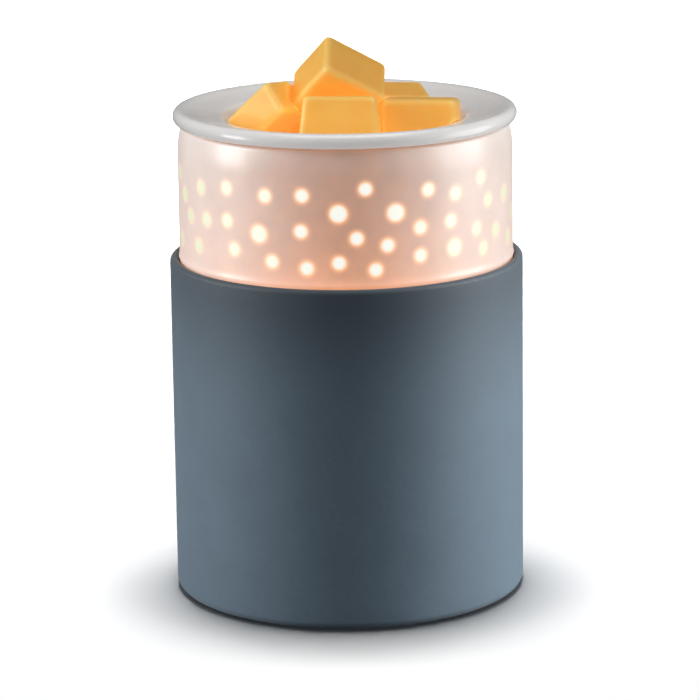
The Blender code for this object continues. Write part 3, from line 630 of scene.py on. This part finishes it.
def window_places():
    """(angle, height, radius) of each thin window, from the flat floors of the node's pockets."""
    mesh = welded("porcelain_shade")
    _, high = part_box("porcelain_shade")
    floor_radius = high.x - WINDOW_THICKNESS
    points = np.array([vertex.co for vertex in mesh.vertices])
    reach = np.hypot(points[:, 0], points[:, 1])
    on_floor = np.abs(reach - floor_radius) < WINDOW_FLOOR_SLACK
    on_floor &= points[:, 2] < high.z - WINDOW_CLEAR_OF_TOP
    places = []
    for face in mesh.polygons:
        corners = list(face.vertices)
        normal = face.normal
        inward = normal.x * face.center.x + normal.y * face.center.y < 0
        if len(corners) < WINDOW_FEWEST_CORNERS or not inward or not all(on_floor[corners]):
            continue
        middle = points[corners].mean(axis=0)
        spread = np.linalg.norm(points[corners] - middle, axis=1).mean()
        places.append((float(np.arctan2(middle[1], middle[0])), float(middle[2]), float(spread)))
    bpy.data.meshes.remove(mesh)
    return sorted(places)


def drawn_in(height, top, outer):
    """How far the shade's wall leans in at a height: nothing below the shoulder."""
    rise = (height - (top - SHOULDER_DEPTH)) / SHOULDER_DEPTH
    return (outer - SHADE_TOP_RADIUS) * rise**SHOULDER_BEND if rise > 0 else 0.0


def shade_radius(height, top, outer):
    """Outer radius of the shade: upright, flared where it enters the sleeve, drawn in at the shoulder."""
    radius = outer
    if height > BAND_LOW:
        radius += FLARE * exp(-(((height - BAND_LOW) / FLARE_HEIGHT) ** 2))
    return radius - drawn_in(height, top, outer)


def shade_outline(low, high):
    """The shade's section: up the outside, over the lip and down the inside."""
    outer = high.x
    inner = outer - SHADE_WALL
    outline = []
    for row in range(HIDDEN_ROWS):
        height = low.z + (BAND_LOW - low.z) * row / HIDDEN_ROWS
        outline.append((outer - SHADE_FOOT_INSET * (row == 0), height))
    for row in range(BAND_ROWS + 1):
        height = BAND_LOW + (high.z - SHADE_LIP_ROUND - BAND_LOW) * row / BAND_ROWS
        outline.append((shade_radius(height, high.z, outer), height))
    lip_centre = (SHADE_TOP_RADIUS - SHADE_LIP_ROUND, high.z - SHADE_LIP_ROUND)
    outline += arc(lip_centre, SHADE_LIP_ROUND, 0, 90, 4)[1:]
    outline.append((SHADE_TOP_RADIUS - SHADE_WALL, high.z))
    for row in range(SHOULDER_ROWS):
        drop = SHADE_INNER_LIP + (SHOULDER_DEPTH - SHADE_INNER_LIP) * row / SHOULDER_ROWS
        outline.append((inner - drawn_in(high.z - drop, high.z, outer), high.z - drop))
    shoulder_low = high.z - SHOULDER_DEPTH
    for row in range(BAND_ROWS + 1):
        outline.append((inner, shoulder_low + (BAND_LOW - shoulder_low) * row / BAND_ROWS))
    for row in range(1, HIDDEN_ROWS + 1):
        outline.append((inner, BAND_LOW + (low.z - BAND_LOW) * row / HIDDEN_ROWS))
    return outline


def wall_glow_at(heights, side, top):
    """Light through the wall at each vertex: side is 0 in front and behind, and 1 at the sides."""
    above = (heights - BAND_LOW) / MM
    leak = np.clip(1 - (top - heights) / TOP_LEAK_REACH, 0, 1)
    height_share = np.clip(above / WALL_GLOW_HEIGHT, 0, 1)
    glow = (WALL_GLOW - WALL_GLOW_LOSS * height_share**WALL_GLOW_BEND) * (1 - WALL_GLOW_SIDE_LOSS * side)
    lip_glow = LIP_GLOW * np.exp(-np.clip(above, 0, None) / LIP_GLOW_REACH)
    return glow + (lip_glow + TOP_LEAK * leak) * (1 - side)


def make_shade(surface, bisque):
    low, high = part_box("porcelain_shade")
    outer = high.x
    windows = window_places()
    mesh = finished("shade_wall", turned_shape(shade_outline(low, high), SHADE_COLUMNS))
    points = vertex_array(mesh, "co")
    turn = np.arctan2(points[:, 1], points[:, 0])
    reach = np.hypot(points[:, 0], points[:, 1])
    gap = np.full(len(points), FAR_FROM_DOTS)
    power = np.ones(len(points))
    for angle, height, radius in windows:
        around = (np.mod(turn - angle + pi, 2 * pi) - pi) * outer
        away = (np.hypot(around, points[:, 2] - height) - radius) / MM
        nearer = away < gap
        gap[nearer] = away[nearer]
        power[nearer] = 1 - DOT_SIDE_LOSS * cos(angle) ** 2
    inner_side = reach < outer - SHADE_WALL + INNER_SIDE_SLACK
    depth = (SHADE_WALL - WINDOW_THICKNESS) * np.clip(0.5 - gap / WINDOW_SLOPE, 0, 1)
    grow = np.where(inner_side & (points[:, 2] < high.z - SHOULDER_DEPTH), depth, 0)
    points[:, :2] *= ((reach + grow) / reach)[:, None]
    mesh.vertices.foreach_set("co", points.reshape(-1))
    side = np.cos(turn) ** 2
    lit_gap = gap - (LIGHT_SPREAD + LIGHT_SPREAD_SIDE * side)
    glow = wall_glow_at(points[:, 2], side, high.z)
    add_layers(mesh, dot_gap=lit_gap, dot_power=power, wall_glow=glow)
    mesh.materials.append(surface.material)
    mesh.materials.append(bisque.material)
    for face in mesh.polygons:
        centre = face.center
        if hypot(centre.x, centre.y) < outer - SHADE_WALL / 2 and centre.z < high.z - GLAZED_TOP:
            face.material_index = 1
    mesh.update()
    return place("shade_wall", mesh, None, "base", "shade_porcelain", "porcelain_shade")


def make_dish(surface):
    low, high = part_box("wax_dish")
    crest = high.z
    under = crest - 2 * DISH_RIM_NOSE
    floor = crest - WELL_FLOOR_DROP
    nose_radius = high.x - DISH_RIM_NOSE
    skirt_inner = SKIRT_OUTER - SKIRT_THICKNESS
    skirt_low = under - SKIRT_DEPTH
    under_side = [
        (0, low.z, 0),
        (36 * MM, low.z, 4 * MM),
        (41.5 * MM, low.z + 3 * MM, 4 * MM),
        (45.5 * MM, under, 2 * MM),
        (skirt_inner, under, 0.8 * MM),
        (skirt_inner, skirt_low, 0.8 * MM),
        (SKIRT_OUTER, skirt_low, 0.8 * MM),
        (SKIRT_OUTER, under, 0.4 * MM),
        (nose_radius, under, 0),
    ]
    upper_side = [
        (nose_radius - 0.6 * MM, crest - 0.02 * MM, 0),
        (53 * MM, crest - 1.2 * MM, 3 * MM),
        (43.6 * MM, crest - 2.9 * MM, 1.6 * MM),
        (WELL_RADIUS, crest - 4.6 * MM, 1.4 * MM),
        (40.6 * MM, floor + 4 * MM, 2 * MM),
        (39.2 * MM, floor + 0.9 * MM, 2.4 * MM),
        (35 * MM, floor, 2 * MM),
        (0, floor, 0),
    ]
    nose = arc((nose_radius, under + DISH_RIM_NOSE), DISH_RIM_NOSE, -90, 75, 22)[1:]
    outline = fillet(under_side) + nose + fillet(upper_side, 8)
    mesh = finished("dish_body", turned_shape(outline, DISH_STEPS, False), DISH_SHARP)
    return place("dish_body", mesh, surface.material, "dish", "dish_glaze", "wax_dish")


def edge_factor(mesh):
    """How convex the surface is around each vertex: 0 on a face, 1 on a rounded edge."""
    points = vertex_array(mesh, "co")
    normals = vertex_array(mesh, "normal")
    ends = np.empty(len(mesh.edges) * 2, int)
    mesh.edges.foreach_get("vertices", ends)
    first, second = ends.reshape(-1, 2).T
    along = points[second] - points[first]
    bend = (along * (normals[second] - normals[first])).sum(axis=1)
    bend /= np.maximum((along**2).sum(axis=1), 1e-14)
    total = np.zeros(len(points))
    degree = np.zeros(len(points))
    for ends_at in (first, second):
        np.add.at(total, ends_at, bend)
        np.add.at(degree, ends_at, 1)
    curve = total / np.maximum(degree, 1)
    for _ in range(EDGE_BLUR_PASSES):
        total = np.zeros(len(points))
        np.add.at(total, first, curve[second])
        np.add.at(total, second, curve[first])
        curve = 0.5 * curve + 0.5 * total / np.maximum(degree, 1)
    return np.clip(curve * EDGE_CURVE - EDGE_START, 0, 1)


def make_melt(node, body, surface, seed):
    mesh = applied(
        welded(node),
        node + "_wax",
        ("REMESH", {"mode": "VOXEL", "voxel_size": WAX_VOXEL, "use_smooth_shade": True}),
        ("SMOOTH", {"factor": 0.5, "iterations": WAX_ROUNDING_PASSES}),
    )
    offset = Vector([seed * part for part in WAX_WAVE_OFFSETS])
    points = []
    for vertex in mesh.vertices:
        wave = noise.noise(vertex.co / WAX_WAVE_SIZE + offset)
        points.append(vertex.co + vertex.normal * (wave - WAX_WAVE_MIDDLE) * WAX_WAVE)
    for vertex, point in zip(mesh.vertices, points):
        vertex.co = point
    # Painted glow: stronger low in the dish and on faces that look down, weaker higher up and on faces that
    # look up.
    rise = np.clip((vertex_array(mesh, "co")[:, 2] - WAX_GLOW_LOW) / WAX_GLOW_REACH, 0, 1)
    facing = vertex_array(mesh, "normal")[:, 2]
    painted_glow = WAX_GLOW * (1 - WAX_GLOW_RISE_LOSS * rise)
    painted_glow *= 1 - WAX_GLOW_TOP_LOSS * np.clip(facing, 0, 1) + WAX_GLOW_UNDER_GAIN * np.clip(-facing, 0, 1)
    add_layers(mesh, edge_wear=edge_factor(mesh), wax_glow=painted_glow)
    mesh.shade_smooth()
    return place(node + "_wax", mesh, surface.material, body, "orange_wax", node)


def make_small_parts(surfaces):
    """Every other node as a smooth-shaded copy with its slot's material."""
    record = frame["record"]
    slots = {part["node"]: part["material_slot"] for part in record["subparts"]}
    shown = ["outer_sleeve", "porcelain_shade", "wax_dish"]
    for body, nodes in record["behaviour"]["bodies"].items():
        for node in nodes:
            if node in shown or node.startswith("melt_"):
                continue
            slot = slots[node]
            mesh = smooth(welded(node), SMALL_PART_SHARP)
            place(node + "_part", mesh, surfaces[slot].material, body, slot, node)


def make_object():
    """Makes every piece, and returns the ones with lights of their own."""
    surfaces = all_surfaces()
    make_sleeve(surfaces["sleeve_silicone"])
    shade = make_shade(surfaces["shade_porcelain"], bisque_surface())
    dish = make_dish(surfaces["dish_glaze"])
    bodies = frame["record"]["behaviour"]["bodies"]
    melts = [(node, body) for body in ("melts", "top_melt") for node in bodies[body]]
    wax = []
    for number, (node, body) in enumerate(melts, 1):
        wax.append(make_melt(node, body, surfaces["orange_wax"], number))
    make_small_parts(surfaces)
    return shade, dish, wax


# Stage, light and camera


def make_floor():
    """A pale floor that takes light and shadow, and throws no light back at the object."""
    shape = bmesh.new()
    bmesh.ops.create_grid(shape, x_segments=8, y_segments=8, size=FLOOR_HALF)
    floor = linked("floor", finished("floor", shape))
    pale = Surface("floor", (0.86, 0.86, 0.86), 0.9)
    tint = pale.span(pale.noise(0.4), 0.3, 0.7)
    pale.feed("Base Color", pale.mix(tint, (0.855, 0.855, 0.855), (0.865, 0.865, 0.865)))
    pale.set("Specular IOR Level", 0.1)
    floor.data.materials.append(pale.material)
    floor.visible_diffuse = False
    floor.visible_glossy = False
    floor.visible_shadow = False
    return floor


def make_backdrop():
    """A pale wall far around the floor, which lights nothing."""
    shape = bmesh.new()
    bmesh.ops.create_cone(
        shape,
        cap_ends=False,
        segments=96,
        radius1=BACKDROP_RADIUS,
        radius2=BACKDROP_RADIUS,
        depth=2 * BACKDROP_HEIGHT,
    )
    backdrop = linked("backdrop", finished("backdrop", shape))
    pale = Surface("backdrop", (0.05, 0.05, 0.05), 0.9)
    tint = pale.span(pale.noise(0.4), 0.3, 0.7)
    pale.feed("Emission Color", pale.mix(tint, (0.98, 0.98, 0.98), (1.0, 1.0, 1.0)))
    pale.set("Emission Strength", 1.0)
    backdrop.data.materials.append(pale.material)
    backdrop.visible_diffuse = False
    backdrop.visible_glossy = False
    backdrop.visible_transmission = False
    backdrop.visible_shadow = False
    return backdrop


def towards_light(azimuth, elevation):
    """The direction of a light. Azimuth is from the front (-Y) towards +X."""
    turn = radians(azimuth)
    rise = radians(elevation)
    return Vector((sin(turn) * cos(rise), -cos(turn) * cos(rise), sin(rise)))


def facing_back(away):
    """The rotation of a light that shines from this direction."""
    return away.to_track_quat("Z", "Y").to_euler()


def softbox(name, width, height, power, azimuth, elevation, distance, target):
    """A rectangular light that aims at a target."""
    data = bpy.data.lights.new(name, "AREA")
    data.shape = "RECTANGLE"
    data.size = width
    data.size_y = height
    data.energy = power
    light = linked(name, data)
    away = towards_light(azimuth, elevation)
    light.location = Vector(target) + away * distance
    light.rotation_euler = facing_back(away)
    return light


def sunlight(name, power, spread, azimuth, elevation):
    """A distant light of this angular size in degrees, coming from this direction."""
    data = bpy.data.lights.new(name, "SUN")
    data.energy = power
    data.angle = radians(spread)
    light = linked(name, data)
    light.rotation_euler = facing_back(towards_light(azimuth, elevation))
    return light


def far_floor_lights():
    """Wide lights over the floor all round the object, each for the floor below it."""
    long, short = FLOOR_FAR_SIZE
    lights = []
    for name, x, y, width, height in (
        ("behind", 0, 2.15, long, short),
        ("front", 0, -2.4, long, short),
        ("left", -2.4, 0, short, long),
        ("right", 2.4, 0, short, long),
    ):
        far = softbox("floor_" + name, width, height, FLOOR_FAR_LIGHT, 0, 90, 1.0, (x, y, 0))
        far.data.spread = radians(FLOOR_FAR_SPREAD)
        lights.append(far)
    return lights


def light_only(light, objects, state):
    """Limits a light to some objects, or leaves them out of it."""
    group = bpy.data.collections.new(light.name + "_targets")
    for thing in objects:
        group.objects.link(thing)
    light.light_linking.receiver_collection = group
    for member in group.collection_objects:
        member.light_linking.link_state = state


def make_light(stage, shade, dish, wax):
    lights = {}
    for group, (target, boxes, suns) in STUDIO.items():
        made = [softbox(f"{group}_{name}", *numbers, target) for name, *numbers in boxes]
        lights[group] = made + [sunlight(f"{group}_{name}", *numbers) for name, *numbers in suns]
    lights["floor"] += far_floor_lights()
    for light in lights["body"]:
        light_only(light, [*stage, shade, dish, *wax], "EXCLUDE")
    for group, things in (("shade", [shade]), ("dish", [dish]), ("wax", wax), ("floor", stage)):
        for light in lights[group]:
            light_only(light, things, "INCLUDE")
    world = bpy.data.worlds.new("studio")
    world.use_nodes = True
    backdrop = world.node_tree.nodes["Background"]
    backdrop.inputs["Color"].default_value = WORLD_COLOUR
    backdrop.inputs["Strength"].default_value = WORLD_STRENGTH
    bpy.context.scene.world = world


def make_camera():
    data = bpy.data.cameras.new("camera")
    data.lens = CAMERA_LENS
    data.sensor_width = CAMERA_SENSOR
    data.shift_x = CAMERA_SHIFT_X
    data.clip_start = CAMERA_NEAR
    data.clip_end = CAMERA_FAR
    camera = linked("camera", data)
    tilt = Matrix.Rotation(pi / 2 - CAMERA_PITCH, 4, "X") @ Matrix.Rotation(CAMERA_ROLL, 4, "Z")
    camera.matrix_world = Matrix.Translation(CAMERA_AT) @ tilt
    bpy.context.scene.camera = camera


make_camera()
make_light((make_floor(), make_backdrop()), *make_object())
bpy.context.scene.view_settings.view_transform = "Standard"
